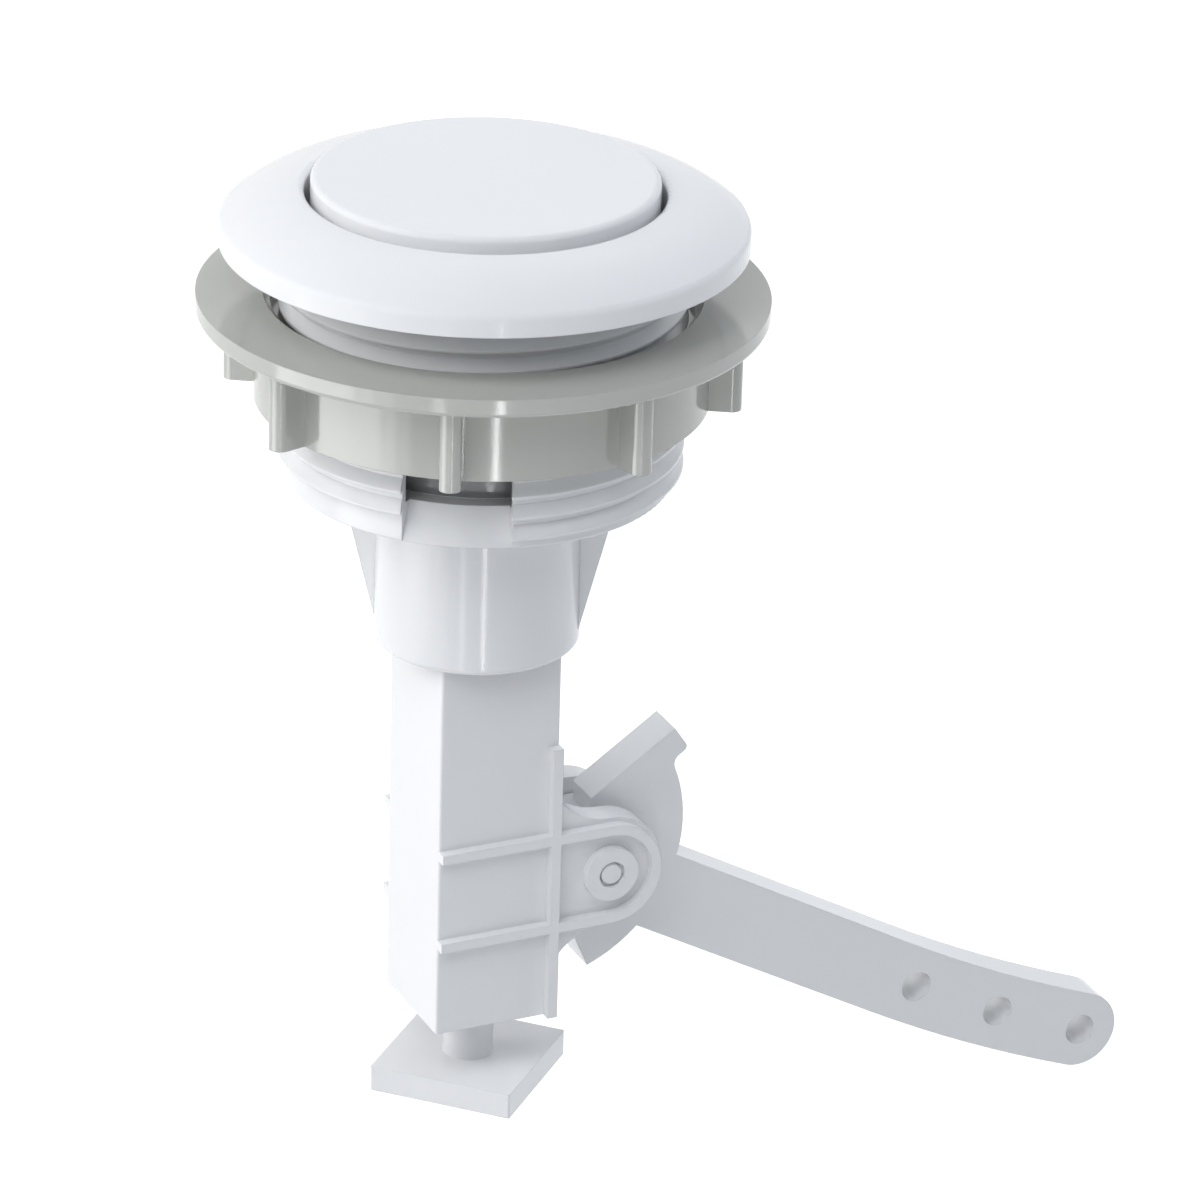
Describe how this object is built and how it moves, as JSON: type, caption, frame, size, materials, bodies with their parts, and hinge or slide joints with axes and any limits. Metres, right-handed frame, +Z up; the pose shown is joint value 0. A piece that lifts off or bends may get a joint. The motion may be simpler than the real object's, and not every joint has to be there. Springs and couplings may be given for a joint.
{
  "type": "push button cistern actuator",
  "caption": "Round push button in a bezel on a threaded body with a lock nut; its plunger slides in a square column and swings a drilled lever arm.",
  "frame": {"origin": "on the button's axis, in the plane where the bezel and the body's flange lie on the cistern lid", "axes": "+Z up out of the lid along the button's axis, +X towards the lever's arm, +Y across the lever"},
  "size_m": [0.1459, 0.0792, 0.1564],
  "materials": {
    "gloss_white": "polished moulded plastic",
    "satin_white": "satin moulded plastic with a slight blue tint",
    "nut_grey": "semi-gloss moulded plastic",
    "spring_steel": "drawn steel wire"
  },
  "bodies": {
    "frame": {"body": "satin_white", "bezel": "gloss_white", "column": "satin_white", "return_spring": "spring_steel"},
    "button": {"push_button": "gloss_white", "button_carrier": "satin_white", "plunger": "satin_white"},
    "lever": {"lever": "satin_white", "pivot_pin": "satin_white"},
    "nut": {"lock_nut": "nut_grey"},
    "foot": {"foot": "satin_white"}
  },
  "joints": [
    {"name": "button_press", "type": "slide", "parent": "frame", "child": "button", "axis": [0, 0, -1], "range_m": [0, 0.011], "stiffness_N_per_m": 350, "springref_m": -0.006, "deforming": ["return_spring"]},
    {"name": "lever_swing", "type": "hinge", "parent": "frame", "child": "lever", "pos_m": [0.0173, 0, -0.0956], "axis": [0, -1, 0], "range_deg": [0, 50]},
    {"name": "nut_turn", "type": "hinge", "parent": "frame", "child": "nut", "pos_m": [0, 0, -0.015], "axis": [0, 0, 1], "continuous": true},
    {"name": "foot_turn", "type": "hinge", "parent": "button", "child": "foot", "pos_m": [0, 0, -0.1255], "axis": [0, 0, 1], "continuous": true}
  ],
  "couplings": [
    {"joint": "lever_swing", "follows": "button_press", "rad_per_m": 79.33}
  ]
}
